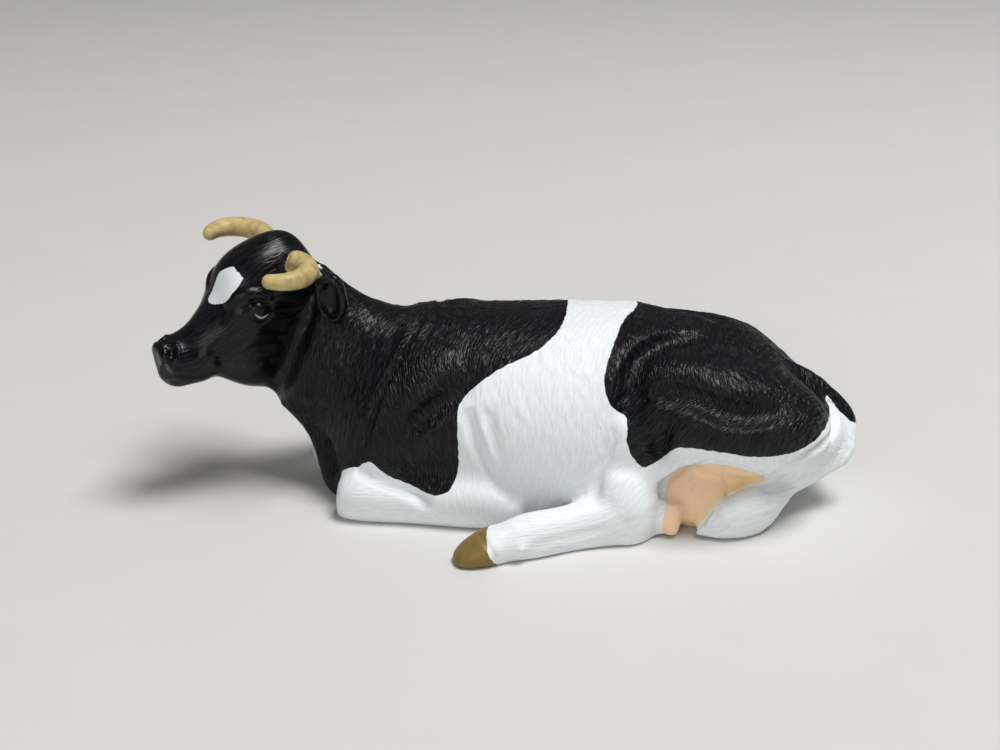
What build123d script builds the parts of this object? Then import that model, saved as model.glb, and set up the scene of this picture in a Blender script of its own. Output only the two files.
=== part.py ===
from build123d import *
import math
import os

# A lying dairy cow, moulded as a set of pieces that plug together.
# The cow faces -X, its left side faces -Y, and it rests on the plane Z = 0.
# All lengths are in millimetres and all angles in degrees.

# Sides of the cow along Y
LEFT = -1
RIGHT = 1

# Trunk
TRUNK_LENGTH = 83.0
TRUNK_FRONT = 25.5
BACK_HEIGHT = 31.6
BARREL_HALF_WIDTH = 19.5
BARREL_POWER = 2.2

# Shoulder blades and upper arms, one on each side
SHOULDER_PLACE = 10.0
SHOULDER_OUT = 7.6
SHOULDER_HEIGHT = 15.9
SHOULDER_LENGTH = 21.0
SHOULDER_WIDTH = 20.8
SHOULDER_DEPTH = 28.0
SHOULDER_SLANT = 18.0

# Haunches: the left thigh lies on top of its leg, the right one is under the cow
HAUNCH_PLACE = 36.5
HAUNCH_OUT = 9.0
HAUNCH_LENGTH = 37.0
HAUNCH_WIDTH = 26.0
LEFT_HAUNCH_HEIGHT = 18.5
LEFT_HAUNCH_DEPTH = 19.0
LEFT_HAUNCH_SLANT = 14.0
RIGHT_HAUNCH_HEIGHT = 13.0
RIGHT_HAUNCH_DEPTH = 23.0
RIGHT_HAUNCH_SLANT = 8.0

# Stifles: the lobe in front of each thigh, over the gaskin
STIFLE_PLACE = 22.5
STIFLE_OUT = 17.1
STIFLE_HEIGHT = 14.5
STIFLE_LENGTH = 9.0
STIFLE_WIDTH = 6.2
STIFLE_DEPTH = 12.0

# Round-bottomed grooves between the muscles
HIP_GROOVE_RADIUS = 3.0
THIGH_GROOVE_RADIUS = 4.0
ARM_GROOVE_RADIUS = 3.0

# Seam between the neck and the trunk, along the crease in front of the shoulder
SEAM_AT_BACK = 14.5
SEAM_AT_GROUND = 24.0
SPIGOT_RADIUS = 5.0
SPIGOT_LENGTH = 7.0
SPIGOT_HEIGHT = 15.0
HEAD_SPIGOT_RADIUS = 2.5
HEAD_SPIGOT_LENGTH = 4.0

# Neck
NECK_BASE = 10.0
NECK_REACH = 23.5
NECK_SWING = 6.0
NECK_HALF_WIDTH = 16.0

# Head, built facing -X with the poll at its own origin, then turned and rolled
POLL_AHEAD = 36.3
POLL_SIDE = 2.0
POLL_HEIGHT = 44.4
HEAD_TURN = 39.0
HEAD_ROLL = 6.0
HEAD_LENGTH = 22.2
HEAD_DEPTH = 26.6
HEAD_HALF_WIDTH = 6.9
EYE_RADIUS = 1.5
EYE_AHEAD = 7.2
EYE_OUT = 5.3
EYE_DROP = 10.8
BROW_LENGTH = 5.2
BROW_DEPTH = 2.6
BROW_RISE = 1.7

# Horns
HORN_ROOT_OUT = 5.2
HORN_ROOT_DROP = 3.3
HORN_BEND_RADIUS = 4.7
HORN_ARC = 168.0
HORN_SWEEP = 34.0
HORN_ROOT_RADIUS = 1.85
HORN_TIP_RADIUS = 1.25
HORN_SECTIONS = 8
HORN_PLUG_DIP_SHARE = 0.35

# Ears
LEFT_EAR_BACK = 4.2
RIGHT_EAR_BACK = 1.6
EAR_OUT = 10.6
EAR_DROP = 8.6
EAR_WIDTH = 6.0
EAR_LENGTH = 8.4
EAR_THICKNESS = 3.0
EAR_WALL = 0.8
EAR_FACING = 28.0
EAR_LEAN = 8.0
EAR_STALK_RADIUS = 1.5

# Folded forelegs
FORELEG_LENGTH = 31.0
KNEE_AHEAD = 25.6
FORELEG_HALF_WIDTH = 5.6
FORELEG_HEIGHT = 9.4
LEFT_KNEE_OUT = 14.2
LEFT_FORELEG_SPREAD = 2.0
RIGHT_KNEE_OUT = 4.5
RIGHT_KNEE_LEAD = 8.0
RIGHT_FORELEG_SPREAD = 24.0

# Hind legs: gaskin, cannon and cloven hoof, from the hock forward
LEFT_HOCK_PLACE = 24.3
RIGHT_HOCK_PLACE = 29.0
LEFT_HOCK_OUT = 17.8
RIGHT_HOCK_OUT = 16.5
LEFT_CANNON_SPREAD = 25.0
RIGHT_CANNON_SPREAD = 9.0
CANNON_LENGTH = 24.5
CANNON_HALF_WIDTH = 4.0
CANNON_HEIGHT = 8.0
HOOF_LENGTH = 7.2
HOOF_HALF_WIDTH = 3.3
HOOF_HEIGHT = 5.4
HOOF_CLEFT = 0.6
DEWCLAW_RADIUS = 1.0
GASKIN_LENGTH = 12.0
GASKIN_WIDTH = 12.0
GASKIN_HEIGHT = 17.0

# Udder
UDDER_PLACE = 34.0
UDDER_OUT = 9.0
UDDER_HEIGHT = 5.5
UDDER_LENGTH = 20.0
UDDER_WIDTH = 18.0
UDDER_DEPTH = 17.0
TEAT_RADIUS = 1.45
TEAT_LENGTH = 5.5
TEAT_TILT = 14.0
TEAT_PLACE = 29.3
TEAT_OUT = 18.4

# Tail, from the tail head round the rump to the tip of its tuft
TAIL_HEAD_PLACE = 43.0
TAIL_HEAD_HEIGHT = 24.4
TAIL_REACH = 14.6
TAIL_SWING = 11.0
TAIL_RADIUS = 1.7
TAIL_BEND_RADIUS = 4.0
TUFT_TIP_PLACE = 32.8
TUFT_TIP_OUT = 19.2
TUFT_TIP_HEIGHT = 1.2
TUFT_HALF_DEPTH = 4.2
TUFT_HALF_WIDTH = 2.3

# Pegs that plug the pieces together
PEG_RADIUS = 1.6
PEG_LENGTH = 9.0
PIN_RADIUS = 0.75
PIN_LENGTH = 5.0
FIT_CLEARANCE = 0.1
END_GAP = 0.4
OVERRUN = 240.0

# Each section of a loft is a closed curve through this many points
SECTION_POINTS = 18

# Trunk sections: along, top, half width, height of the widest point, underside
TRUNK_SHARES = [
    (0.00, 0.84, 0.74, 0.34, -0.16),
    (0.12, 0.965, 0.84, 0.42, -0.16),
    (0.26, 0.99, 0.93, 0.43, -0.16),
    (0.41, 1.00, 1.00, 0.43, -0.16),
    (0.57, 0.995, 0.99, 0.43, -0.16),
    (0.71, 0.955, 0.97, 0.42, -0.14),
    (0.81, 0.895, 0.89, 0.41, -0.04),
    (0.905, 0.69, 0.72, 0.41, 0.12),
    (0.965, 0.56, 0.52, 0.40, 0.22),
    (1.00, 0.48, 0.25, 0.40, 0.31),
]

# Centre lines of the grooves in front of the hip and behind the shoulder blade:
# along, out and up on the trunk's sizes
HIP_GROOVE_SHARES = [
    (0.71, 0.28, 1.04),
    (0.645, 0.45, 1.00),
    (0.61, 0.585, 0.97),
    (0.585, 0.72, 0.93),
    (0.573, 0.87, 0.845),
    (0.571, 0.99, 0.725),
    (0.58, 1.10, 0.665),
]
ARM_GROOVE_SHARES = [
    (0.265, 0.905, 0.82),
    (0.22, 0.965, 0.70),
    (0.17, 1.00, 0.60),
    (0.125, 1.025, 0.50),
]

# Centre line of the groove along the thigh: along, out and up on the haunch's half sizes
THIGH_GROOVE_SHARES = [
    (-0.82, 0.895, 0.47),
    (-0.565, 0.93, 0.54),
    (-0.28, 1.03, 0.60),
    (0.02, 1.08, 0.55),
    (0.30, 0.97, 0.735),
    (0.50, 0.80, 1.02),
]

# Neck sections: crest along, crest height, throat along, throat height,
# half width, crest swing and throat swing towards the left
NECK_SHARES = [
    (0.00, 0.680, 0.48, -0.06, 1.00, 0.00, 0.00),
    (0.24, 0.682, 0.86, -0.04, 0.91, 0.00, 0.00),
    (0.47, 0.712, 0.95, 0.12, 0.66, 0.00, 0.12),
    (0.68, 0.790, 1.06, 0.25, 0.49, -0.03, 0.37),
    (0.85, 0.868, 1.17, 0.34, 0.41, -0.10, 0.66),
]
NECK_WIDEST_SHARE = 0.5

# Head sections: top along, top drop, bottom along, bottom drop, half width,
# height of the widest point between bottom and top
HEAD_SHARES = [
    (-0.16, 0.07, 0.145, 1.045, 0.87, 0.56),
    (0.00, 0.00, 0.235, 1.025, 0.94, 0.58),
    (0.205, 0.038, 0.36, 0.98, 1.00, 0.60),
    (0.39, 0.125, 0.495, 0.91, 0.93, 0.60),
    (0.53, 0.355, 0.61, 0.89, 0.75, 0.58),
    (0.69, 0.505, 0.73, 0.90, 0.64, 0.50),
    (0.83, 0.565, 0.835, 0.90, 0.62, 0.50),
    (0.94, 0.590, 0.935, 0.865, 0.62, 0.48),
    (0.99, 0.625, 0.985, 0.80, 0.47, 0.50),
    (1.01, 0.67, 1.01, 0.75, 0.22, 0.50),
]

# Ear sections from its top to its tip: along, width, thickness
EAR_SHARES = [
    (0.00, 0.45, 0.55),
    (0.16, 0.82, 0.92),
    (0.42, 1.00, 1.00),
    (0.70, 0.92, 0.92),
    (0.90, 0.58, 0.66),
    (1.00, 0.22, 0.34),
]

# Foreleg sections from the knee back: along, half width, height
FORELEG_SHARES = [
    (0.00, 0.40, 0.50),
    (0.04, 0.78, 0.76),
    (0.13, 0.94, 0.90),
    (0.38, 0.92, 0.88),
    (0.68, 1.00, 1.00),
    (0.90, 0.88, 0.88),
    (1.00, 0.60, 0.60),
]
FORELEG_PLUG_SHARE = 0.78

# Cannon sections: along, half width, height
CANNON_SHARES = [
    (-0.12, 0.42, 0.55),
    (-0.06, 0.80, 0.88),
    (0.08, 1.05, 1.08),
    (0.32, 0.95, 0.98),
    (0.58, 0.84, 0.82),
    (0.80, 0.90, 0.80),
    (0.92, 0.80, 0.72),
    (1.00, 0.82, 0.66),
]

# Hoof sections: along, half width, height
HOOF_SHARES = [
    (0.00, 1.00, 0.98),
    (0.25, 1.06, 0.92),
    (0.55, 1.00, 0.72),
    (0.82, 0.78, 0.50),
    (1.00, 0.40, 0.26),
]

# Hollow of the groin that the udder lies in, against the udder's own sizes
GROIN_LENGTH_SHARE = 1.6
GROIN_WIDTH_SHARE = 1.25
GROIN_DEPTH_SHARE = 1.75

# Tail path: reach, swing towards the left, height, each a share of the tail's own sizes
TAIL_PATH_SHARES = [
    (0.00, 0.00, 1.00),
    (0.62, 0.00, 0.82),
    (1.04, 0.10, 0.60),
    (1.02, 0.42, 0.38),
    (0.36, 1.00, 0.25),
]

# Tuft sections: along its run, half depth, half width, sideways belly
TUFT_SHARES = [
    (0.00, 0.42, 0.76, 0.00),
    (0.20, 0.75, 0.92, 0.45),
    (0.45, 1.00, 1.00, 0.90),
    (0.70, 0.76, 0.84, 0.85),
    (0.90, 0.36, 0.46, 0.35),
    (1.00, 0.12, 0.18, 0.00),
]


def ring(plane, half_width, top, bottom, widest, power=2.0):
    """A closed egg-shaped curve on a plane, widest at one height."""
    points = []
    for step in range(SECTION_POINTS):
        angle = 2 * math.pi * step / SECTION_POINTS - math.pi / 2
        across = math.copysign(abs(math.cos(angle)) ** (2 / power), math.cos(angle))
        upward = math.copysign(abs(math.sin(angle)) ** (2 / power), math.sin(angle))
        reach = top - widest if upward > 0 else widest - bottom
        points.append(plane.from_local_coords((half_width * across, widest + reach * upward, 0)))
    return Wire([Edge.make_spline(points, periodic=True)])


def cross_plane(x, y=0.0):
    """The plane across the X axis at x, with Y to its right and Z up."""
    return Plane(origin=(x, y, 0), x_dir=(0, 1, 0), z_dir=(1, 0, 0))


def ellipsoid(length, width, depth):
    """A ball scaled to three full sizes."""
    return scale(Sphere(1), by=(length / 2, width / 2, depth / 2))


def above_ground(shape):
    """The part of a shape over the resting plane."""
    return shape - Box(OVERRUN, OVERRUN, OVERRUN, align=(Align.CENTER, Align.CENTER, Align.MAX))


def rod(place, direction, radius, length):
    """A round rod from a place along a direction."""
    start = Plane(origin=place, z_dir=direction)
    return start.location * Cylinder(radius, length, align=(Align.CENTER, Align.CENTER, Align.MIN))


def biggest(shape):
    """The largest solid of a shape."""
    return max(shape.solids(), key=lambda solid: solid.volume)


class Plug:
    """A peg on one piece and the bore that takes it in its neighbour."""

    def __init__(self, place, direction, radius, length):
        self.peg = rod(place, direction, radius, length)
        self.bore = rod(place, direction, radius + FIT_CLEARANCE, length + END_GAP)


def towards_spine(place, height):
    """The direction from a place to the trunk's middle plane at a height."""
    return Vector(place.X, 0, height) - place


# Trunk

def groove(places, radius):
    """A round channel along a smooth curve through places."""
    route = Spline(*places)
    return sweep(Plane(origin=route @ 0, z_dir=route % 0) * Circle(radius), path=route)


def trunk_groove(table, side, radius):
    """A groove on one side of the trunk, from rows of along, out and up shares."""
    places = []
    for along, out, up in table:
        places.append(
            Vector(along * TRUNK_LENGTH - TRUNK_FRONT, side * out * BARREL_HALF_WIDTH, up * BACK_HEIGHT)
        )
    return groove(places, radius)


def haunch(side, height, depth, slant):
    """One thigh, as a slanted ellipsoid and the groove along its muscles."""
    places = []
    for along, out, up in THIGH_GROOVE_SHARES:
        places.append(Vector(along * HAUNCH_LENGTH / 2, side * out * HAUNCH_WIDTH / 2, up * depth / 2))
    seat = Pos(HAUNCH_PLACE, side * HAUNCH_OUT, height) * Rot(0, slant, 0)
    return seat * ellipsoid(HAUNCH_LENGTH, HAUNCH_WIDTH, depth), seat * groove(places, THIGH_GROOVE_RADIUS)


def trunk_form():
    """The barrel from brisket to pin bones, with shoulders, haunches, stifles and their grooves."""
    rings = []
    for along, top, width, widest, under in TRUNK_SHARES:
        plane = cross_plane(along * TRUNK_LENGTH - TRUNK_FRONT)
        rings.append(
            ring(
                plane, width * BARREL_HALF_WIDTH, top * BACK_HEIGHT, under * BACK_HEIGHT,
                widest * BACK_HEIGHT, BARREL_POWER,
            )
        )
    form = Solid.make_loft(rings)
    groin = ellipsoid(
        GROIN_LENGTH_SHARE * UDDER_LENGTH, GROIN_WIDTH_SHARE * UDDER_WIDTH, GROIN_DEPTH_SHARE * UDDER_DEPTH
    )
    form -= Pos(UDDER_PLACE + UDDER_LENGTH / 4, LEFT * (UDDER_OUT + UDDER_WIDTH / 2), 0) * groin
    shoulder = Rot(0, SHOULDER_SLANT, 0) * ellipsoid(SHOULDER_LENGTH, SHOULDER_WIDTH, SHOULDER_DEPTH)
    for side in (LEFT, RIGHT):
        form += Pos(-SHOULDER_PLACE, side * SHOULDER_OUT, SHOULDER_HEIGHT) * shoulder
    left, left_groove = haunch(LEFT, LEFT_HAUNCH_HEIGHT, LEFT_HAUNCH_DEPTH, LEFT_HAUNCH_SLANT)
    right, right_groove = haunch(RIGHT, RIGHT_HAUNCH_HEIGHT, RIGHT_HAUNCH_DEPTH, RIGHT_HAUNCH_SLANT)
    form += left
    form += right
    form -= left_groove
    form -= right_groove
    stifle = ellipsoid(STIFLE_LENGTH, STIFLE_WIDTH, STIFLE_DEPTH)
    for side in (LEFT, RIGHT):
        form += Pos(STIFLE_PLACE, side * STIFLE_OUT, STIFLE_HEIGHT) * stifle
        form -= trunk_groove(HIP_GROOVE_SHARES, side, HIP_GROOVE_RADIUS)
        form -= trunk_groove(ARM_GROOVE_SHARES, side, ARM_GROOVE_RADIUS)
    return above_ground(form)


def seam_plane():
    """The slanted plane of the neck seam, facing forward, with its origin on the spigot's axis."""
    back = Vector(-SEAM_AT_BACK, 0, BACK_HEIGHT)
    ground = Vector(-SEAM_AT_GROUND, 0, 0)
    upward = back - ground
    return Plane(
        origin=ground + upward * (SPIGOT_HEIGHT / BACK_HEIGHT),
        x_dir=(0, 1, 0),
        z_dir=upward.cross(Vector(0, 1, 0)),
    )


# Head and neck

HEAD_PLACE = Pos(-POLL_AHEAD, -POLL_SIDE, POLL_HEIGHT) * Rot(0, 0, HEAD_TURN) * Rot(HEAD_ROLL, 0, 0)


class Section:
    """An egg-shaped ring through a crest and a throat point, spread along a sideways direction."""

    def __init__(self, crest, throat, across, half_width, widest_share):
        upward = crest - throat
        plane = Plane(origin=throat, x_dir=across, z_dir=across.cross(upward))
        self.ring = ring(plane, half_width, upward.length, 0, widest_share * upward.length)
        self.centre = throat + upward / 2
        self.backward = plane.z_dir


def neck_sections():
    """The neck's sections from inside the trunk up to the throat latch, bending towards the left."""
    sections = []
    for crest_along, crest_up, throat_along, throat_up, width, crest_swing, throat_swing in NECK_SHARES:
        crest = Vector(
            -NECK_BASE - crest_along * NECK_REACH, LEFT * crest_swing * NECK_SWING, crest_up * POLL_HEIGHT
        )
        throat = Vector(
            -NECK_BASE - throat_along * NECK_REACH, LEFT * throat_swing * NECK_SWING, throat_up * POLL_HEIGHT
        )
        across = Vector(0, 1, 0).rotate(Axis.Z, HEAD_TURN * crest_along ** 2)
        sections.append(Section(crest, throat, across, width * NECK_HALF_WIDTH, NECK_WIDEST_SHARE))
    return sections


def head_sections():
    """The head's sections from the nape to the muzzle."""
    head = Plane(HEAD_PLACE)
    sections = []
    for top_along, top_drop, low_along, low_drop, width, widest in HEAD_SHARES:
        crest = head.from_local_coords(Vector(-top_along * HEAD_LENGTH, 0, -top_drop * HEAD_DEPTH))
        throat = head.from_local_coords(Vector(-low_along * HEAD_LENGTH, 0, -low_drop * HEAD_DEPTH))
        sections.append(Section(crest, throat, head.y_dir, width * HEAD_HALF_WIDTH, widest))
    return sections


def head_form(sections):
    """The head lofted through its sections, with brows and eyeballs."""
    form = Solid.make_loft([each.ring for each in sections])
    for side in (LEFT, RIGHT):
        eye = HEAD_PLACE * Pos(-EYE_AHEAD, side * EYE_OUT, -EYE_DROP)
        form += eye * Sphere(EYE_RADIUS)
        form += eye * Pos(0, 0, BROW_RISE) * ellipsoid(BROW_LENGTH, BROW_DEPTH, BROW_DEPTH)
    return form


def horn_form(side):
    """A stout horn that leaves the head sideways and bends forward in one arc, with its plug."""
    root = Vector(0, side * HORN_ROOT_OUT, -HORN_ROOT_DROP)
    first_outward = Vector(1, 0, 0).rotate(Axis.Z, -side * HORN_SWEEP)
    rings = []
    for step in range(HORN_SECTIONS + 1):
        share = step / HORN_SECTIONS
        outward = first_outward.rotate(Axis.Z, side * HORN_ARC * share)
        heading = outward.rotate(Axis.Z, side * 90)
        place = root + (outward - first_outward) * HORN_BEND_RADIUS
        radius = HORN_ROOT_RADIUS + (HORN_TIP_RADIUS - HORN_ROOT_RADIUS) * share ** 2
        rings.append(Wire.make_circle(radius, Plane(origin=place, x_dir=(0, 0, 1), z_dir=heading)))
    tip = Pos(place.X, place.Y, place.Z) * Sphere(HORN_TIP_RADIUS)
    first_heading = first_outward.rotate(Axis.Z, side * 90)
    inward = Vector(0, 0, -HORN_PLUG_DIP_SHARE) - first_heading
    plug = Plug(root + first_heading * HORN_ROOT_RADIUS, inward, PIN_RADIUS, PIN_LENGTH)
    return Solid.make_loft(rings) + tip, plug


def ear_form(side, back):
    """A cupped ear on a short stalk that hangs beside the head and faces forward, with its plug."""
    outer = []
    hollow = []
    for along, width, thick in EAR_SHARES:
        plane = Plane(origin=(0, 0, EAR_LENGTH / 2 - along * EAR_LENGTH), x_dir=(0, 1, 0), z_dir=(0, 0, 1))
        half_width = width * EAR_WIDTH / 2
        half_thick = thick * EAR_THICKNESS / 2
        outer.append(ring(plane, half_width, half_thick, -half_thick, 0))
        hollow.append(ring(plane, half_width - EAR_WALL, EAR_THICKNESS, EAR_WALL - half_thick, half_thick))
    cup = Solid.make_loft(outer) - Solid.make_loft(hollow[1:-1])
    centre = Vector(back, side * EAR_OUT, -EAR_DROP)
    start = centre + Vector(0, -side * EAR_WIDTH / 6, EAR_LENGTH / 2 - EAR_STALK_RADIUS)
    inward = Vector(-start.X, -start.Y, 0)
    stalk = rod(start, inward, EAR_STALK_RADIUS, inward.length)
    plug = Plug(start, inward, PIN_RADIUS, PIN_LENGTH)
    return Pos(centre) * Rot(0, 0, -side * EAR_FACING) * Rot(side * EAR_LEAN, 0, 0) * cup + stalk, plug


# Legs

def lying_loft(table, length, half_width, height):
    """A rounded limb lying on the ground along -X, from rows of along, half width and height shares."""
    rings = []
    for along, width, tall in table:
        top = tall * height
        rings.append(ring(cross_plane(-along * length), width * half_width, top, -top / 4, top / 2))
    return Solid.make_loft(rings)


def foreleg_form(side, knee_ahead, knee_out, spread):
    """A foreleg folded under the chest, with its knee in front, and its plug."""
    frame = Pos(-knee_ahead, side * knee_out, 0) * Rot(0, 0, 180 + side * spread)
    leg = frame * lying_loft(FORELEG_SHARES, FORELEG_LENGTH, FORELEG_HALF_WIDTH, FORELEG_HEIGHT)
    elbow = frame * Pos(-FORELEG_PLUG_SHARE * FORELEG_LENGTH, 0, FORELEG_HEIGHT / 2)
    start = elbow.position + Vector(0, side * FORELEG_HALF_WIDTH / 2, 0)
    plug = Plug(start, towards_spine(start, BACK_HEIGHT / 2), PEG_RADIUS, PEG_LENGTH)
    return above_ground(leg), plug


def hind_leg_form(side, hock_place, hock_out, spread):
    """A hind leg folded on the ground: gaskin over the hock, cannon and cloven hoof ahead, and its plug."""
    leg = lying_loft(CANNON_SHARES, CANNON_LENGTH, CANNON_HALF_WIDTH, CANNON_HEIGHT)
    hoof = lying_loft(HOOF_SHARES, HOOF_LENGTH, HOOF_HALF_WIDTH, HOOF_HEIGHT)
    cleft = Box(HOOF_LENGTH, HOOF_CLEFT, 2 * HOOF_HEIGHT)
    leg += Pos(-CANNON_LENGTH, 0, 0) * (hoof - Pos(-HOOF_LENGTH, 0, 0) * cleft)
    dewclaw = Pos(-CANNON_LENGTH + HOOF_HEIGHT / 2, side * HOOF_HALF_WIDTH, HOOF_HEIGHT / 2)
    leg += dewclaw * Sphere(DEWCLAW_RADIUS)
    leg = Rot(0, 0, -side * spread) * leg
    leg += Pos(-GASKIN_LENGTH / 4, 0, GASKIN_HEIGHT / 4) * ellipsoid(
        GASKIN_LENGTH, GASKIN_WIDTH, GASKIN_HEIGHT
    )
    hock = Vector(hock_place, side * hock_out, 0)
    start = hock + Vector(-GASKIN_LENGTH / 4, side * GASKIN_WIDTH / 4, GASKIN_HEIGHT / 3)
    plug = Plug(start, towards_spine(start, BACK_HEIGHT / 2), PEG_RADIUS, PEG_LENGTH)
    return above_ground(Pos(hock) * leg), plug


# Udder and tail

def udder_form():
    """The bag under the left thigh, with the teat that shows beside the leg, and its plug."""
    centre = Vector(UDDER_PLACE, LEFT * UDDER_OUT, UDDER_HEIGHT)
    bag = Pos(centre) * ellipsoid(UDDER_LENGTH, UDDER_WIDTH, UDDER_DEPTH)
    straight = TEAT_LENGTH - TEAT_RADIUS
    teat = Cylinder(TEAT_RADIUS, straight) + Pos(0, 0, -straight / 2) * Sphere(TEAT_RADIUS)
    bag += Pos(TEAT_PLACE, LEFT * TEAT_OUT, TEAT_LENGTH / 2 + TEAT_RADIUS / 2) * Rot(-TEAT_TILT, 0, 0) * teat
    start = centre + Vector(0, LEFT * UDDER_WIDTH / 4, 0)
    plug = Plug(start, towards_spine(start, UDDER_HEIGHT), PEG_RADIUS, PEG_LENGTH)
    return above_ground(bag), plug


def tail_form():
    """The tail round the rump, ending in a leaf-shaped tuft beside the udder, and its plug."""
    path = []
    for reach, swing, height in TAIL_PATH_SHARES:
        path.append(
            Vector(
                TAIL_HEAD_PLACE + reach * TAIL_REACH, LEFT * swing * TAIL_SWING,
                height * TAIL_HEAD_HEIGHT,
            )
        )
    route = FilletPolyline(*path, radius=TAIL_BEND_RADIUS)
    cord = sweep(Plane(origin=path[0], z_dir=path[1] - path[0]) * Circle(TAIL_RADIUS), path=route)
    start = path[-1]
    run = Vector(TUFT_TIP_PLACE, LEFT * TUFT_TIP_OUT, TUFT_TIP_HEIGHT) - start
    outward = run.cross(Vector(0, 0, 1)).normalized()
    rings = []
    for along, deep, wide, belly in TUFT_SHARES:
        place = start + run * along - outward * (belly * TUFT_HALF_WIDTH)
        plane = Plane(origin=place, x_dir=outward.cross(run), z_dir=run)
        rings.append(Wire([Edge.make_ellipse(deep * TUFT_HALF_DEPTH, wide * TUFT_HALF_WIDTH, plane)]))
    tuft = Solid.make_loft(rings)
    plug = Plug(path[1], Vector(-TAIL_REACH, 0, -TAIL_REACH / 2), PIN_RADIUS, PIN_LENGTH)
    return above_ground(cord + tuft), plug


def main():
    """Shape every piece, seat it on its neighbours and write one file for each."""
    seam = seam_plane()
    ahead_of_seam = seam.location * Box(
        OVERRUN, OVERRUN, OVERRUN, align=(Align.CENTER, Align.CENTER, Align.MIN)
    )
    trunk = trunk_form() - ahead_of_seam
    rows = neck_sections()
    latch = rows[-1]
    neck = above_ground(Solid.make_loft([each.ring for each in rows])) & ahead_of_seam
    head = head_form([latch] + head_sections())
    neck_plug = Plug(
        seam.origin + seam.z_dir * SPIGOT_RADIUS, -seam.z_dir, SPIGOT_RADIUS, SPIGOT_RADIUS + SPIGOT_LENGTH
    )
    head_plug = Plug(
        latch.centre - latch.backward * HEAD_SPIGOT_RADIUS, latch.backward,
        HEAD_SPIGOT_RADIUS, HEAD_SPIGOT_RADIUS + HEAD_SPIGOT_LENGTH,
    )

    pieces = {}
    plugs = [neck_plug]
    head_plugs = []
    for name, side, ear_back in (("left", LEFT, LEFT_EAR_BACK), ("right", RIGHT, RIGHT_EAR_BACK)):
        horn, horn_plug = horn_form(side)
        ear, ear_plug = ear_form(side, ear_back)
        ear -= horn
        for kind, form, plug in (("horn", horn, horn_plug), ("ear", ear, ear_plug)):
            pieces[f"{name}_{kind}"] = biggest(HEAD_PLACE * form - head - neck) + HEAD_PLACE * plug.peg
            head_plugs.append(HEAD_PLACE * plug.bore)

    tail, tail_plug = tail_form()
    tail -= trunk
    pieces["tail"] = biggest(tail) + tail_plug.peg
    legs = {
        "left_foreleg": foreleg_form(LEFT, KNEE_AHEAD, LEFT_KNEE_OUT, LEFT_FORELEG_SPREAD),
        "right_foreleg": foreleg_form(
            RIGHT, KNEE_AHEAD + RIGHT_KNEE_LEAD, RIGHT_KNEE_OUT, RIGHT_FORELEG_SPREAD
        ),
        "left_hind_leg": hind_leg_form(
            LEFT, LEFT_HOCK_PLACE, LEFT_HOCK_OUT, LEFT_CANNON_SPREAD
        ),
        "right_hind_leg": hind_leg_form(
            RIGHT, RIGHT_HOCK_PLACE, RIGHT_HOCK_OUT, RIGHT_CANNON_SPREAD
        ),
    }
    for name, (form, plug) in legs.items():
        pieces[name] = biggest(form - trunk - neck) + plug.peg
        plugs.append(plug)
    udder, udder_plug = udder_form()
    pieces["udder"] = biggest(udder - trunk - legs["left_hind_leg"][0] - tail) + udder_plug.peg
    plugs += [tail_plug, udder_plug]

    for plug in plugs:
        trunk -= plug.bore
    for bore in head_plugs:
        head -= bore
    pieces["torso"] = trunk
    pieces["neck"] = neck - head_plug.bore + neck_plug.peg
    pieces["head"] = head + head_plug.peg

    os.makedirs("parts", exist_ok=True)
    for name, shape in pieces.items():
        export_step(shape, f"parts/{name}.step")


if __name__ == "__main__":
    main()
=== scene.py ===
import math

import bpy
import numpy as np
from bpy.props import FloatProperty, FloatVectorProperty, IntProperty, PointerProperty
from mathutils import Matrix, Vector
from mathutils.bvhtree import BVHTree
from mathutils.kdtree import KDTree


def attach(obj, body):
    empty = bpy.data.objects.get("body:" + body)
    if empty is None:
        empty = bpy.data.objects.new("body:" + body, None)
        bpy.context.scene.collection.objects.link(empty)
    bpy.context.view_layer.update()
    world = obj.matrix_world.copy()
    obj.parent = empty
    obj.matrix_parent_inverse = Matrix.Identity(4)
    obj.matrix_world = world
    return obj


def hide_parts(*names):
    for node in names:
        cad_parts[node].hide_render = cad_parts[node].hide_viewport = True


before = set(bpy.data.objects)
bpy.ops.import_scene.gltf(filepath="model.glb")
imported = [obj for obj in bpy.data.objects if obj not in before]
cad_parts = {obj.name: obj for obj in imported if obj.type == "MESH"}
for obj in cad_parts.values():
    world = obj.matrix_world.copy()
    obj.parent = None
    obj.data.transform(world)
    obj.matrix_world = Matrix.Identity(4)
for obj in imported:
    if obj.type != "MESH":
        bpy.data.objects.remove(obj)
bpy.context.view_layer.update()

bl_info = {
    "name": "Lying cow figurine",
    "version": (1, 0, 0),
    "blender": (4, 5, 0),
    "location": "3D View > Sidebar > Cow",
    "description": "Sculpts, paints and stages a lying cow figurine over its fixed frame",
    "category": "Object",
}

MOULDING = "moulding"
SEED = 7

# The photograph's frame in pixels, and the lens and place of its camera
PHOTO_WIDTH_PX = 1000
PHOTO_HEIGHT_PX = 750
FOCAL_PX = 1500.0
SENSOR_WIDTH_MM = 36.0
CAMERA_DISTANCE = 0.254
CAMERA_ELEVATION = math.radians(22.0)
CAMERA_AZIMUTH = math.radians(5.0)
CAMERA_TARGET = Vector((0.0, 0.0, 0.0194))
PATH_STEP_PX = 3.0
END_FADE_SHARE = 0.22

# The head's own frame: the poll, and the turn and roll of the face
POLL = Vector((-0.0363, -0.002, 0.0444))
HEAD_TURN = math.radians(39.0)
HEAD_ROLL = math.radians(6.0)

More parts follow.
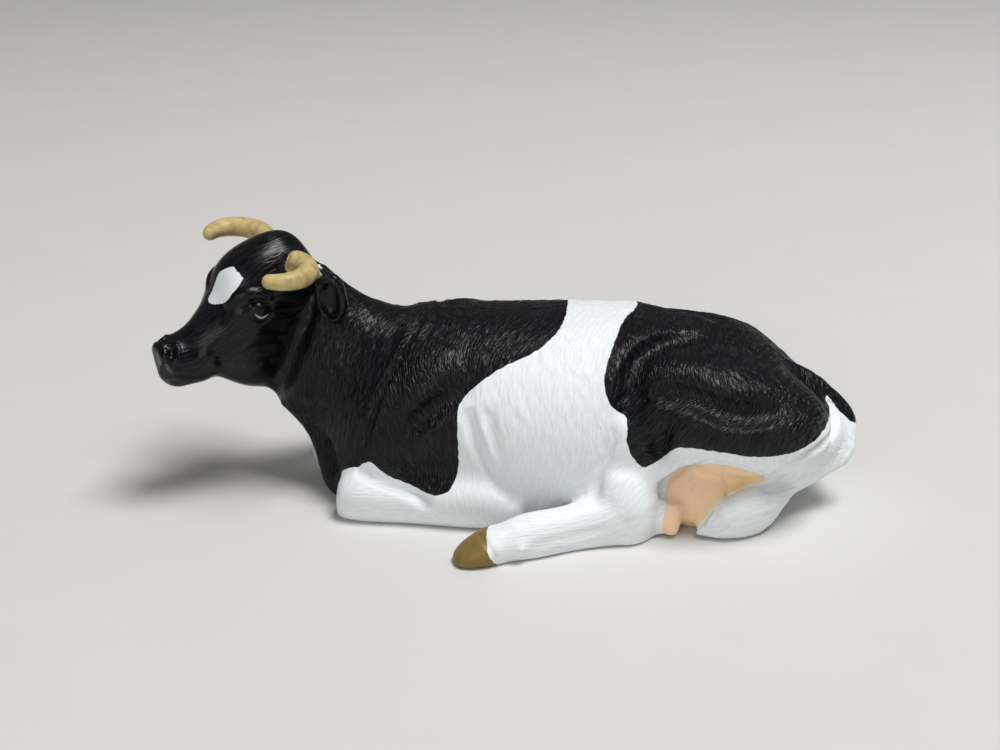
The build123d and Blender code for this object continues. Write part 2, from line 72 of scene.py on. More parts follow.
# Pieces of the figure and the material slot of each
PIECE_SLOTS = {
    "torso": "pied_hide",
    "neck": "black_hide",
    "head": "black_hide",
    "left_horn": "horn",
    "right_horn": "horn",
    "left_ear": "black_hide",
    "right_ear": "black_hide",
    "left_foreleg": "white_hide",
    "right_foreleg": "white_hide",
    "left_hind_leg": "white_hide",
    "right_hind_leg": "white_hide",
    "udder": "udder",
    "tail": "white_hide",
}
PIECES = list(PIECE_SLOTS)
SMALL_PIECES = ("left_horn", "right_horn", "left_ear", "right_ear")
WHITE_PIECES = ("right_foreleg", "right_hind_leg")

# Outlines of the black patches on the left side, in pixels of the photograph
FORE_PATCH_PX = [
    (568, 296), (568, 303), (566, 315), (560, 330), (545, 345), (530, 355), (510, 363), (490, 375),
    (470, 390), (458, 405), (457, 420), (458, 440), (459, 470), (453, 485), (447, 493), (438, 496),
    (428, 494), (415, 487), (405, 482), (392, 478), (380, 470), (371, 461), (362, 463), (355, 472),
    (345, 482), (343, 500), (335, 520), (100, 520), (100, 150), (568, 150),
]
RUMP_PATCH_PX = [
    (638, 296), (638, 307), (625, 317), (615, 340), (607, 365), (604, 380), (605, 393), (612, 408),
    (620, 413), (626, 415), (628, 424), (626, 440), (632, 457), (640, 466), (648, 467), (660, 460),
    (672, 450), (680, 447), (700, 449), (730, 454), (760, 458), (785, 455), (802, 450), (820, 437),
    (829, 420), (830, 408), (824, 396), (830, 385), (900, 380), (900, 150), (638, 150),
]
BLAZE_PX = [
    (207, 300), (213, 288), (218, 275), (221, 270), (232, 266), (236, 269), (245, 277), (240, 284),
    (232, 294), (228, 301), (222, 304), (212, 304),
]
TAIL_PATCH_PX = [
    (826, 392), (838, 410), (846, 416), (853, 424), (900, 424), (900, 300), (760, 300), (760, 350),
    (800, 380),
]
UDDER_PX = [
    (663, 520), (665, 508), (665, 495), (667, 484), (671, 476), (679, 469), (692, 465), (712, 463),
    (732, 466), (750, 471), (772, 479), (755, 483), (738, 489), (724, 496), (713, 507), (704, 518),
    (697, 529), (693, 536), (678, 537), (674, 542), (662, 542), (662, 532),
]
UDDER_BACK = -0.004
FAR = 1.0
CORNER_CUTS = 2
CORNER_SHARE = 0.25
KNEE_PX = 371
HOOF_EDGE_PX = (487, 547)
HOOF_TIP_PX = (455, 556)

# Strokes on the trunk: pixel path, share of the crease width, share of the crease depth (positive is raised)
TRUNK_STROKE_SHARES = [
    ([(408, 332), (400, 346), (383, 378), (372, 400)], 0.35, 0.50),
    ([(419, 323), (405, 346), (388, 379), (376, 404), (368, 430), (364, 455)], 0.60, -0.90),
    ([(440, 309), (432, 324), (422, 336), (410, 352)], 0.60, -0.50),
    ([(445, 316), (455, 323), (466, 334)], 0.50, 0.35),
    ([(470, 388), (446, 404), (421, 420), (405, 432)], 1.30, -0.80),
    ([(455, 412), (446, 420), (436, 436), (430, 455)], 1.80, 0.45),
    ([(430, 360), (415, 385), (400, 405)], 2.00, 0.35),
    ([(440, 470), (432, 485)], 1.60, 0.40),
    ([(468, 415), (474, 434), (486, 462), (501, 490)], 0.80, -1.30),
    ([(481, 420), (485, 440), (495, 465), (504, 482)], 0.70, 0.50),
    ([(489, 418), (493, 441), (503, 483), (512, 500)], 0.80, -0.80),
    ([(612, 436), (603, 462), (597, 487), (595, 503)], 0.90, -0.60),
    ([(622, 440), (613, 465), (607, 490)], 1.30, 0.40),
    ([(721, 328), (695, 339), (667, 343), (652, 351), (640, 362), (633, 376), (631, 392), (634, 405)],
     1.20, -1.00),
    ([(655, 393), (690, 392), (715, 406), (745, 413), (775, 409), (798, 402)], 1.50, -1.00),
    ([(655, 326), (630, 336), (614, 356), (610, 380), (612, 400)], 1.40, 0.35),
    ([(655, 366), (690, 364), (725, 372), (760, 386)], 2.00, 0.60),
    ([(680, 418), (715, 428), (755, 430)], 2.40, 0.50),
    ([(639, 401), (651, 401)], 0.40, -1.00),
    ([(668, 424), (662, 442), (655, 460)], 1.10, -1.40),
    ([(640, 425), (645, 445)], 1.80, 0.50),
    ([(624, 414), (632, 420)], 0.60, -0.60),
    ([(632, 470), (630, 495), (632, 520)], 3.00, 0.50),
]

# Strokes on the face, mirrored across the head's own middle plane
HEAD_STROKE_SHARES = [
    ([(158, 366), (163, 374), (171, 381)], 1.60, -1.30),
    ([(169, 347), (172, 352), (170, 358)], 0.50, -1.30),
    ([(174, 343), (178, 348), (178, 356), (175, 361)], 0.30, 0.35),
    ([(160, 354)], 0.90, 0.25),
    ([(163, 370), (172, 376), (188, 378), (204, 376), (215, 372)], 0.35, -0.70),
    ([(208, 358)], 0.90, 0.40),
    ([(222, 350)], 1.20, -0.30),
    ([(228, 303), (236, 297), (246, 294), (258, 294), (268, 297)], 0.60, 0.60),
    ([(248, 305), (258, 301), (270, 304)], 0.40, -0.80),
    ([(261, 310)], 0.90, 0.60),
    ([(252, 315), (261, 321), (271, 315)], 0.35, -0.60),
    ([(238, 316), (245, 313)], 0.30, 0.35),
    ([(318, 330), (310, 350), (298, 364)], 1.20, 0.50),
    ([(285, 320), (270, 345), (240, 360)], 2.00, -0.40),
]

# Strokes on the near horn, the legs, the udder's edge and the tail
HORN_STROKE_SHARES = [
    ([(280, 282), (295, 278), (310, 272)], 0.90, 0.25),
    ([(321, 267)], 0.60, 0.50),
]
LEG_STROKE_SHARES = [
    ([(520, 528), (560, 518), (600, 508)], 0.90, 0.35),
    ([(530, 547), (570, 537), (610, 529)], 0.70, -0.35),
    ([(512, 532)], 1.40, 0.45),
    ([(477, 533), (485, 542), (492, 552), (498, 562)], 0.35, -0.35),
    ([(362, 472), (375, 478), (395, 485), (415, 494), (425, 504)], 0.80, -2.00),
    ([(319, 442), (325, 457), (332, 474)], 2.20, -3.00),
]
UDDER_TAIL_STROKE_SHARES = [
    ([(660, 495), (666, 482), (674, 476), (687, 467), (710, 462), (740, 468), (768, 477)], 0.50, -1.20),
    ([(690, 484), (725, 478)], 3.50, 1.00),
    ([(720, 520), (745, 508), (768, 500)], 2.20, 0.80),
    ([(772, 480), (738, 489), (720, 499), (706, 515), (697, 529)], 0.50, -1.20),
    ([(730, 500), (750, 494), (772, 490)], 0.30, -0.60),
    ([(704, 527), (722, 513), (745, 504), (775, 501)], 0.30, -0.50),
    ([(712, 533), (735, 522), (760, 515), (778, 512)], 0.30, -0.50),
    ([(831, 404), (836, 418), (834, 432), (826, 443), (812, 453), (796, 463), (769, 477)], 0.60, -1.50),
]

# The painted highlight along the near eye's lower lid, a pale glint, front to back
EYE_GLINT_PX = [(254, 313), (261, 318), (270, 313)]
EYE_GLINT_WIDTH = 0.00026

# Sizes of the paint's edges and clouds, and the places between which the udder turns yellow
EDGE_WIDTH = 0.00006
WOBBLE_SIZE = 0.0012
WOBBLE_HEIGHT = 0.0005
CLOUD_SIZE = 0.006
SPECK_SIZE = 0.0016
UDDER_TINT = (0.026, 0.044)
CLOUD_DETAIL = 3.0
SPECK_DETAIL = 4.0

# Where the paint's soft masks start and end, and how much each one shows
CLOUD_SHARE = 0.5
WHITE_HAIR_SHARES = (0.45, 1.0)
BLACK_HAIR_SHARES = (0.45, 0.80)
HORN_EDGE_SHARES = (0.42, 0.58)
STREAK_SHARES = (0.30, 0.62)
WHITE_RELIEF_SHARE = 0.22
HEAD_SMOOTH_SHARE = 0.85

# Gloss of the paint: the roughness of the white hide, and how much smoother or rougher the rest is
HIDE_ROUGHNESS = 0.50
BLACK_GLOSS = 0.16
HEAD_GLOSS = 0.14
BARE_GLOSS = 0.15
CLOUD_ROUGHNESS = 0.06
PAINT_SPECULAR = 0.22

# Lie of the hair: pixel place and its angle in degrees, turning from level towards upright
HAIR_LIE_PX = [
    (350, 320, 95), (380, 330, 88), (405, 335, 78), (360, 380, 90), (345, 440, 90), (400, 380, 118),
    (430, 350, 115), (440, 400, 118), (470, 350, 108), (500, 350, 95), (530, 345, 88), (460, 430, 110),
    (430, 470, 105), (450, 308, 150), (500, 400, 100), (560, 400, 100), (600, 430, 100), (520, 470, 95),
    (570, 350, 105), (600, 320, 110), (610, 360, 110), (640, 330, 125), (660, 350, 118), (700, 350, 130),
    (690, 375, 115), (740, 370, 135), (780, 380, 130), (720, 385, 125), (650, 430, 40), (640, 450, 30),
    (670, 415, 55), (690, 430, 45), (720, 425, 65), (750, 425, 80), (790, 410, 95), (810, 400, 100),
    (770, 450, 70), (520, 535, 15), (580, 515, 20), (630, 490, 75), (600, 520, 25), (400, 500, 5),
    (840, 400, 125), (820, 460, 40), (740, 510, 35), (240, 330, 46), (280, 300, 60), (200, 350, 40),
]
LIE_POWER = 4
HAIR_WAYS = 12
HAIR_SHARPNESS = 20
HAIR_SLOPE_SHARE = 0.6
HAIR_WAVE_SHARE = 0.3
HAIR_EDGE_SHARES = (0.36, 0.64)
SMALLEST = 1e-6


class MouldingSizes(bpy.types.PropertyGroup):
    """Sizes of the moulding's surface work."""

    grain: FloatProperty(
        name="Grain", description="Edge length of the moulding's faces", default=0.00034, unit="LENGTH")
    fillet: FloatProperty(
        name="Fillet", description="Rounding where two pieces meet", default=0.0005, unit="LENGTH")
    crease_width: FloatProperty(
        name="Crease width", description="Reach of a full-width crease to each side",
        default=0.0022, unit="LENGTH")
    crease_depth: FloatProperty(
        name="Crease depth", description="Depth of a full-depth crease", default=0.0008, unit="LENGTH")
    hair_length: FloatProperty(
        name="Hair length", description="Length of a moulded lock of hair", default=0.0030, unit="LENGTH")
    hair_width: FloatProperty(
        name="Hair width", description="Width of a moulded lock of hair", default=0.0005, unit="LENGTH")
    hair_height: FloatProperty(
        name="Hair height", description="Height of a moulded lock of hair", default=0.00007, unit="LENGTH")
    hair_locks: IntProperty(
        name="Hair locks", description="How many locks are moulded into the hide", default=14000)
    stroke_length: FloatProperty(
        name="Stroke length", description="Length of a fine hair line", default=0.0026, unit="LENGTH")
    stroke_width: FloatProperty(
        name="Stroke width", description="Width of a fine hair line", default=0.00040, unit="LENGTH")
    stroke_height: FloatProperty(
        name="Stroke height", description="Height of a fine hair line", default=0.00016, unit="LENGTH")


class PaintColours(bpy.types.PropertyGroup):
    """Colours of the painted finishes."""

    black: FloatVectorProperty(
        name="Black", description="Black of the hide", default=(0.003, 0.003, 0.004), subtype="COLOR")
    white: FloatVectorProperty(
        name="White", description="White of the hide", default=(0.82, 0.86, 0.87), subtype="COLOR")
    # Painted shade: the white is painted darker between the hair lines, where shade falls in the grooves
    white_painted_shade: FloatVectorProperty(
        name="White shade", description="White between the hairs",
        default=(0.77, 0.82, 0.83), subtype="COLOR")
    # Painted sheen: the black is painted lighter on the hairs' backs, where a highlight would fall
    black_sheen: FloatVectorProperty(
        name="Black sheen", description="Black on the hairs' backs",
        default=(0.008, 0.009, 0.011), subtype="COLOR")
    # Painted highlight: the pale glint along the lower eyelids
    eyelid_glint: FloatVectorProperty(
        name="Eyelid", description="Pale rim of the lower eyelids",
        default=(0.55, 0.56, 0.55), subtype="COLOR")
    hoof_shade: FloatVectorProperty(
        name="Hoof shade", description="Darker olive in the hooves",
        default=(0.17, 0.115, 0.03), subtype="COLOR")
    horn: FloatVectorProperty(
        name="Horn", description="Tan of the horns", default=(0.57, 0.45, 0.20), subtype="COLOR")
    horn_shade: FloatVectorProperty(
        name="Horn shade", description="Darker tan in the horns' streaks",
        default=(0.40, 0.30, 0.12), subtype="COLOR")
    hoof: FloatVectorProperty(
        name="Hoof", description="Olive of the hooves", default=(0.27, 0.19, 0.055), subtype="COLOR")
    udder: FloatVectorProperty(
        name="Udder", description="Peach of the udder", default=(0.90, 0.62, 0.41), subtype="COLOR")
    udder_edge: FloatVectorProperty(
        name="Udder edge", description="Yellow tint where the udder meets the hide",
        default=(0.90, 0.72, 0.34), subtype="COLOR")


class StageLooks(bpy.types.PropertyGroup):
    """Floor and lights."""

    floor: FloatVectorProperty(
        name="Floor", description="Colour of the floor", default=(0.68, 0.67, 0.65), subtype="COLOR")
    floor_size: FloatProperty(
        name="Floor size", description="Edge of the floor", default=4.0, unit="LENGTH")
    floor_grain: FloatProperty(
        name="Floor grain", description="Size of the floor's clouds", default=0.02, unit="LENGTH")
    floor_relief: FloatProperty(
        name="Floor relief", description="Height of the floor's clouds", default=0.0002, unit="LENGTH")
    floor_roughness: FloatProperty(
        name="Floor roughness", description="Roughness of the floor", default=0.9)
    floor_shade: FloatProperty(
        name="Floor shade", description="Share of the colour that darker clouds keep", default=0.96)
    surround: FloatProperty(
        name="Surround", description="Strength of the even light all round", default=0.12)
    key_place: FloatVectorProperty(
        name="Key place", description="Place of the key lamp", default=(0.40, -0.10, 1.20),
        subtype="TRANSLATION")
    key_size: FloatProperty(
        name="Key size", description="Edge of the key lamp", default=0.50, unit="LENGTH")
    key_power: FloatProperty(
        name="Key power", description="Power of the key lamp", default=14.8, unit="POWER")
    fill_place: FloatVectorProperty(
        name="Fill place", description="Place of the fill lamp", default=(-0.30, -1.30, 0.55),
        subtype="TRANSLATION")
    fill_size: FloatProperty(
        name="Fill size", description="Edge of the fill lamp", default=1.00, unit="LENGTH")
    fill_power: FloatProperty(
        name="Fill power", description="Power of the fill lamp", default=6.0, unit="POWER")


# The photograph's camera

class PhotoView:
    """Turns places into pixels of the photograph, and pixels into places on a surface."""

    def __init__(self):
        level = math.cos(CAMERA_ELEVATION)
        back = Vector((
            math.sin(CAMERA_AZIMUTH) * level, -math.cos(CAMERA_AZIMUTH) * level, math.sin(CAMERA_ELEVATION)))
        self.eye = CAMERA_TARGET + back * CAMERA_DISTANCE
        self.ahead = -back
        self.right = self.ahead.cross(Vector((0, 0, 1))).normalized()
        self.up = self.right.cross(self.ahead)

    def pixels(self, places):
        """Pixel coordinates of an array of places."""
        away = places - np.array(self.eye)
        scale = FOCAL_PX / (away @ np.array(self.ahead))
        across = PHOTO_WIDTH_PX / 2 + scale * (away @ np.array(self.right))
        down = PHOTO_HEIGHT_PX / 2 - scale * (away @ np.array(self.up))
        return np.stack([across, down], axis=1)

    def land(self, tree, pixel):
        """The place and the facing where the line of sight through a pixel meets a surface, or None."""
        across = pixel[0] - PHOTO_WIDTH_PX / 2
        down = pixel[1] - PHOTO_HEIGHT_PX / 2
        sight = self.ahead * FOCAL_PX + self.right * across - self.up * down
        place, facing, _, _ = tree.ray_cast(self.eye, sight.normalized())
        return (place, facing) if place else None

    def trace(self, tree, path):
        """Places and facings along a pixel path, close together."""
        points = np.array(path, float)
        if len(points) > 1:
            runs = np.hypot(*np.diff(points, axis=0).T)
            marks = np.concatenate([[0], np.cumsum(runs)])
            stops = np.linspace(0, marks[-1], int(marks[-1] / PATH_STEP_PX) + 2)
            points = np.stack([np.interp(stops, marks, points[:, axis]) for axis in (0, 1)], axis=1)
        landed = [self.land(tree, point) for point in points]
        landed = [each for each in landed if each]
        if not landed:
            raise RuntimeError(f"no part of the path {path} meets the figure")
        return landed


VIEW = PhotoView()
HEAD_FRAME = (
    Matrix.Translation(POLL) @ Matrix.Rotation(HEAD_TURN, 4, "Z") @ Matrix.Rotation(HEAD_ROLL, 4, "X"))
ACROSS_MIDDLE = Matrix.Scale(-1, 4, Vector((0, 1, 0)))
TRUNK_MIRROR = ACROSS_MIDDLE
HEAD_MIRROR = HEAD_FRAME @ ACROSS_MIDDLE @ HEAD_FRAME.inverted()


# The moulding as clay

def smooth_step(value, low, high):
    """An S-shaped rise from 0 at low to 1 at high."""
    share = np.clip((value - low) / (high - low), 0, 1)
    return share * share * (3 - 2 * share)


class Clay:
    """The moulding's mesh as arrays, to be carved, raised, smoothed and marked."""

    def __init__(self):
        self.mesh = bpy.data.objects[MOULDING].data
        count = len(self.mesh.vertices)
        self.places = np.empty((count, 3))
        self.read("co", self.places)
        self.edges = np.empty((len(self.mesh.edges), 2), dtype=np.int32)
        self.mesh.edges.foreach_get("vertices", self.edges.ravel())
        self.links = np.bincount(self.edges.ravel(), minlength=count)
        if "piece" in self.mesh.attributes:
            self.piece = self.marks("piece").astype(int)

    def read(self, what, array):
        flat = np.empty(array.size, dtype=np.float32)
        self.mesh.vertices.foreach_get(what, flat)
        array[:] = flat.reshape(array.shape)

    def store(self):
        """Puts the worked places back on the mesh, none of them under the ground."""
        self.places[:, 2] = np.maximum(self.places[:, 2], 0)
        self.mesh.vertices.foreach_set("co", self.places.astype(np.float32).ravel())
        self.mesh.update()

    def facings(self):
        """The outward direction at every vertex."""
        self.store()
        facing = np.empty_like(self.places)
        self.read("normal", facing)
        return facing

    def tree(self):
        """The surface as it is now, for lines of sight and nearest places."""
        self.store()
        corners = np.empty(len(self.mesh.loops), dtype=np.int32)
        self.mesh.loops.foreach_get("vertex_index", corners)
        starts = [polygon.loop_start for polygon in self.mesh.polygons]
        faces = [part.tolist() for part in np.split(corners, starts[1:])]
        return BVHTree.FromPolygons(self.places.tolist(), faces)

    def marks(self, name):
        """The values of one named mark."""
        values = np.empty(len(self.places), dtype=np.float32)
        self.mesh.attributes[name].data.foreach_get("value", values)
        return values

    def mark(self, name, values):
        """Stores one value for each vertex under a name."""
        if name not in self.mesh.attributes:
            self.mesh.attributes.new(name, "FLOAT", "POINT")
        self.mesh.attributes[name].data.foreach_set("value", values.astype(np.float32))

    def is_piece(self, *names):
        """Which vertices belong to the named pieces."""
        return np.isin(self.piece, [PIECES.index(name) for name in names])

    def neighbours(self, values):
        """The mean of each vertex's neighbours."""
        first, second = self.edges.T
        total = np.empty_like(values)
        for axis in range(values.shape[1]):
            column = values[:, axis]
            total[:, axis] = np.bincount(first, column[second], len(values))
            total[:, axis] += np.bincount(second, column[first], len(values))
        return total / np.maximum(self.links, 1)[:, None]

    def relax(self, share, rounds):
        """Moves each vertex a share of the way to the mean of its neighbours, again and again."""
        for _ in range(rounds):
            self.places += (self.neighbours(self.places) - self.places) * share[:, None]

    def spread(self, values, rounds):
        """Blurs a mark over the surface."""
        values = values.astype(float)[:, None]
        for _ in range(rounds):
            values = (values + self.neighbours(values)) / 2
        return values[:, 0]

    def stroke(self, facing, chain, reach, height):
        """Raises or carves the surface along a chain of places, fading at its ends."""
        points = np.array([place for place, _ in chain])
        sides = np.array([side for _, side in chain])
        low = points.min(axis=0) - reach
        high = points.max(axis=0) + reach
        near = np.flatnonzero(np.all((self.places > low) & (self.places < high), axis=1))
        if not len(near):
            return
        gaps = np.linalg.norm(self.places[near, None] - points[None], axis=2)
        nearest = gaps.argmin(axis=1)
        gap = gaps[np.arange(len(near)), nearest] / reach
        lift = np.clip(1 - gap ** 2, 0, 1) ** 2
        if len(points) > 1:
            along = nearest / (len(points) - 1)
            lift *= smooth_step(np.minimum(along, 1 - along), -END_FADE_SHARE, END_FADE_SHARE)
        lift *= np.einsum("ij,ij->i", facing[near], sides[nearest]) > 0
        self.places[near] += facing[near] * (lift * height)[:, None]


def mirrored(tree, chain, mirror):
    """A chain moved to the other side of a middle plane and set down on the surface there."""
    moved = []
    for place, _ in chain:
        spot, facing, _, _ = tree.find_nearest(mirror @ place)
        moved.append((spot, facing))
    return moved


def carve(strokes, mirror=None):
    """Works a table of strokes into the moulding, on both sides where a mirror is given."""
    sizes = bpy.context.scene.cow_sizes
    clay = Clay()
    tree = clay.tree()
    for path, width, depth in strokes:
        facing = clay.facings()
        chain = VIEW.trace(tree, path)
        clay.stroke(facing, chain, width * sizes.crease_width, depth * sizes.crease_depth)
        if mirror:
            chain = mirrored(tree, chain, mirror)
            clay.stroke(facing, chain, width * sizes.crease_width, depth * sizes.crease_depth)
    clay.store()


def only(thing):
    """Deselects everything else and makes one object the active one."""
    bpy.ops.object.select_all(action="DESELECT")
    thing.select_set(True)
    bpy.context.view_layer.objects.active = thing


def rounded(outline):
    """A closed outline with its corners cut twice."""
    points = np.array(outline, float)
    for _ in range(CORNER_CUTS):
        ahead = np.roll(points, -1, axis=0)
        first = points + (ahead - points) * CORNER_SHARE
        second = ahead + (points - ahead) * CORNER_SHARE
        points = np.stack([first, second], axis=1).reshape(-1, 2)
    return points


def outline_gap(pixels, outline):
    """Signed pixel distance of places to a closed outline, positive inside."""
    inside = np.zeros(len(pixels), dtype=bool)
    gap = np.full(len(pixels), np.inf)
    ends = rounded(outline)
    for start, end in zip(ends, np.roll(ends, -1, axis=0)):
        run = end - start
        share = np.clip(((pixels - start) @ run) / (run @ run), 0, 1)
        gap = np.minimum(gap, np.linalg.norm(pixels - start - share[:, None] * run, axis=1))
        crosses = (start[1] > pixels[:, 1]) != (end[1] > pixels[:, 1])
        rise = end[1] - start[1] if end[1] != start[1] else np.inf
        inside ^= crosses & (pixels[:, 0] < start[0] + (pixels[:, 1] - start[1]) / rise * run[0])
    return np.where(inside, gap, -gap)


def udder_gap(clay):
    """Distance of each vertex inside the udder's outline, negative outside it or on a hidden side."""
    gap = outline_gap(VIEW.pixels(clay.places), UDDER_PX) * CAMERA_DISTANCE / FOCAL_PX
    seen = (clay.facings() @ np.array(VIEW.ahead) < 0) & (clay.places[:, 1] < UDDER_BACK)
    return np.where(seen, gap, -FAR)


class CastMoulding(bpy.types.Operator):
    """Joins copies of the pieces into one moulding with a fine, even surface and soft creases"""

    bl_idname = "cow.cast_moulding"
    bl_label = "Cast moulding"

    BLEND_ROUNDS = 20
    SOFTEN_ROUNDS = 12
    SMALL_ROUNDS = 3
    SEAM_RINGS = 9
    VOTE_ROUNDS = 10
    PULL_SHARE = 0.5

    def execute(self, context):
        sizes = context.scene.cow_sizes
        corners = []
        faces = []
        owners = []
        copies = []
        for index, name in enumerate(PIECES):
            copy = bpy.data.objects.new(name + "_copy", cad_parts[name].data.copy())
            context.scene.collection.objects.link(copy)
            copies.append(copy)
            only(copy)
            bpy.ops.object.mode_set(mode="EDIT")
            bpy.ops.mesh.select_all(action="SELECT")
            bpy.ops.mesh.remove_doubles(threshold=sizes.grain / 100)
            bpy.ops.object.mode_set(mode="OBJECT")
            first = len(corners)
            corners += [vertex.co.copy() for vertex in copy.data.vertices]
            faces += [[first + corner for corner in polygon.vertices] for polygon in copy.data.polygons]
            owners += [index] * len(copy.data.polygons)
        bpy.ops.object.select_all(action="DESELECT")
        for copy in copies:
            copy.select_set(True)
        context.view_layer.objects.active = copies[0]
        bpy.ops.object.join()
        moulding = context.object
        moulding.name = MOULDING
        moulding.data.materials.clear()
        self.apply(moulding, "REMESH", mode="VOXEL", voxel_size=sizes.grain)
        self.apply(moulding, "DISPLACE", strength=sizes.fillet, mid_level=0)
        self.apply(moulding, "REMESH", mode="VOXEL", voxel_size=sizes.grain)
        moulding = self.outer_shell(moulding)
        self.apply(moulding, "DISPLACE", strength=-sizes.fillet, mid_level=0)

        clay = Clay()
        tree = BVHTree.FromPolygons(corners, faces)
        piece = np.array([owners[tree.find_nearest(Vector(place))[2]] for place in clay.places])
        self.fit_udder(clay, piece, corners, faces, owners)
        votes = np.eye(len(PIECES))[piece]
        for _ in range(self.VOTE_ROUNDS):
            votes = (votes + clay.neighbours(votes)) / 2
        piece = votes.argmax(axis=1)
        clay.mark("horn", votes[:, [PIECES.index("left_horn"), PIECES.index("right_horn")]].sum(axis=1))
        clay.mark("piece", piece)
        clay.piece = piece
        seam = np.zeros(len(piece))
        first, second = clay.edges[piece[clay.edges[:, 0]] != piece[clay.edges[:, 1]]].T
        seam[first] = 1
        seam[second] = 1
        near_seam = np.clip(clay.spread(seam, self.SEAM_RINGS) * self.SEAM_RINGS, 0, 1)
        small = clay.is_piece(*SMALL_PIECES)
        clay.relax(np.full(len(piece), self.PULL_SHARE), self.SMALL_ROUNDS)
        clay.relax(np.where(small, 0, self.PULL_SHARE), self.SOFTEN_ROUNDS)
        clay.relax(np.where(small, 0, self.PULL_SHARE * near_seam), self.BLEND_ROUNDS)
        clay.store()
        return {"FINISHED"}

    def fit_udder(self, clay, piece, corners, faces, owners):
        """Makes the udder's edge follow its outline in the photograph."""
        udder = PIECES.index("udder")
        gap = udder_gap(clay)
        others = [index for index, owner in enumerate(owners) if owner != udder]
        tree = BVHTree.FromPolygons(corners, [faces[index] for index in others])
        for index in np.flatnonzero((piece == udder) & (gap < 0)):
            nearest = tree.find_nearest(Vector(clay.places[index]))[2]
            piece[index] = owners[others[nearest]]
        piece[gap > 0] = udder

    def apply(self, moulding, kind, **settings):
        """Adds one modifier with its settings and applies it."""
        only(moulding)
        modifier = moulding.modifiers.new(kind, kind)
        for name, value in settings.items():
            setattr(modifier, name, value)
        bpy.ops.object.modifier_apply(modifier=modifier.name)

    def outer_shell(self, moulding):
        """The moulding without the hollows that the plugs leave inside it."""
        only(moulding)
        bpy.ops.object.mode_set(mode="EDIT")
        bpy.ops.mesh.separate(type="LOOSE")
        bpy.ops.object.mode_set(mode="OBJECT")
        shells = sorted(bpy.context.selected_objects, key=lambda shell: len(shell.data.vertices))
        for shell in shells[:-1]:
            bpy.data.objects.remove(shell)
        shells[-1].name = MOULDING
        return shells[-1]


class ModelTrunk(bpy.types.Operator):
    """Models the shoulder, belly folds, hip and thigh"""

    bl_idname = "cow.model_trunk"
    bl_label = "Model trunk"

    def execute(self, context):
        carve(TRUNK_STROKE_SHARES, TRUNK_MIRROR)
        return {"FINISHED"}


class ModelHead(bpy.types.Operator):
    """Models the muzzle, nostrils, mouth, eyes and brows"""

    bl_idname = "cow.model_head"
    bl_label = "Model head"

    def execute(self, context):
        carve(HEAD_STROKE_SHARES, HEAD_MIRROR)
        carve(HORN_STROKE_SHARES, HEAD_MIRROR)
        return {"FINISHED"}


class ModelLegs(bpy.types.Operator):
    """Models the tendons, fetlocks and hooves"""

    bl_idname = "cow.model_legs"
    bl_label = "Model legs"

    def execute(self, context):
        carve(LEG_STROKE_SHARES)
        return {"FINISHED"}


class ModelUdderAndTail(bpy.types.Operator):
    """Models the udder's edge and the locks of the tail's tuft"""

    bl_idname = "cow.model_udder_and_tail"
    bl_label = "Model udder and tail"

    def execute(self, context):
        carve(UDDER_TAIL_STROKE_SHARES)
        return {"FINISHED"}


class CombHair(bpy.types.Operator):
    """Marks the lie of the hair and moulds its locks into the hide"""

    bl_idname = "cow.comb_hair"
    bl_label = "Comb hair"

    def execute(self, context):
        sizes = context.scene.cow_sizes
        clay = Clay()
        tree = clay.tree()
        facing = clay.facings()
        spots = []
        ways = []
        for across, down, angle in HAIR_LIE_PX:
            landed = VIEW.land(tree, (across, down))
            if not landed:
                raise RuntimeError(f"the hair mark at {across}, {down} misses the figure")
            spots.append(landed[0])
            ways.append((math.cos(2 * math.radians(angle)), math.sin(2 * math.radians(angle))))
        near_side = clay.places.copy()
        near_side[:, 1] = -np.abs(near_side[:, 1])
        gaps = np.linalg.norm(near_side[:, None] - np.array(spots)[None], axis=2)
        pull = 1 / (gaps + sizes.grain) ** LIE_POWER
        lie = pull @ np.array(ways) / pull.sum(axis=1)[:, None]
        lie /= np.maximum(np.linalg.norm(lie, axis=1), SMALLEST)[:, None]
        clay.mark("lie_level", lie[:, 0])
        clay.mark("lie_upright", lie[:, 1])

        angle = np.arctan2(lie[:, 1], lie[:, 0]) / 2
        way = np.stack([np.cos(angle), np.zeros(len(angle)), np.sin(angle)], axis=1)
        way -= facing * np.einsum("ij,ij->i", way, facing)[:, None]
        way /= np.maximum(np.linalg.norm(way, axis=1), SMALLEST)[:, None]
        chance = np.random.default_rng(SEED)
        above = clay.places[:, 2] > sizes.hair_length / 4
        haired = np.flatnonzero(clay.is_piece("torso", "neck", "tail") & above)
        roots = chance.choice(haired, sizes.hair_locks)
        finder = KDTree(len(clay.places))
        for index, place in enumerate(clay.places):
            finder.insert(place, index)
        finder.balance()
        lift = np.zeros(len(clay.places))
        for root, strength in zip(roots, chance.uniform(-1, 1, len(roots))):
            found = finder.find_range(Vector(clay.places[root]), sizes.hair_length / 2)
            near = np.array([index for _, index, _ in found])
            offset = clay.places[near] - clay.places[root]
            along = offset @ way[root]
            across = np.linalg.norm(offset - along[:, None] * way[root], axis=1)
            ridge = np.exp(-(across / (sizes.hair_width / 2)) ** 2)
            lift[near] += strength * ridge * (1 - (2 * along / sizes.hair_length) ** 2)
        clay.places += facing * (lift * sizes.hair_height)[:, None]
        clay.store()
        return {"FINISHED"}


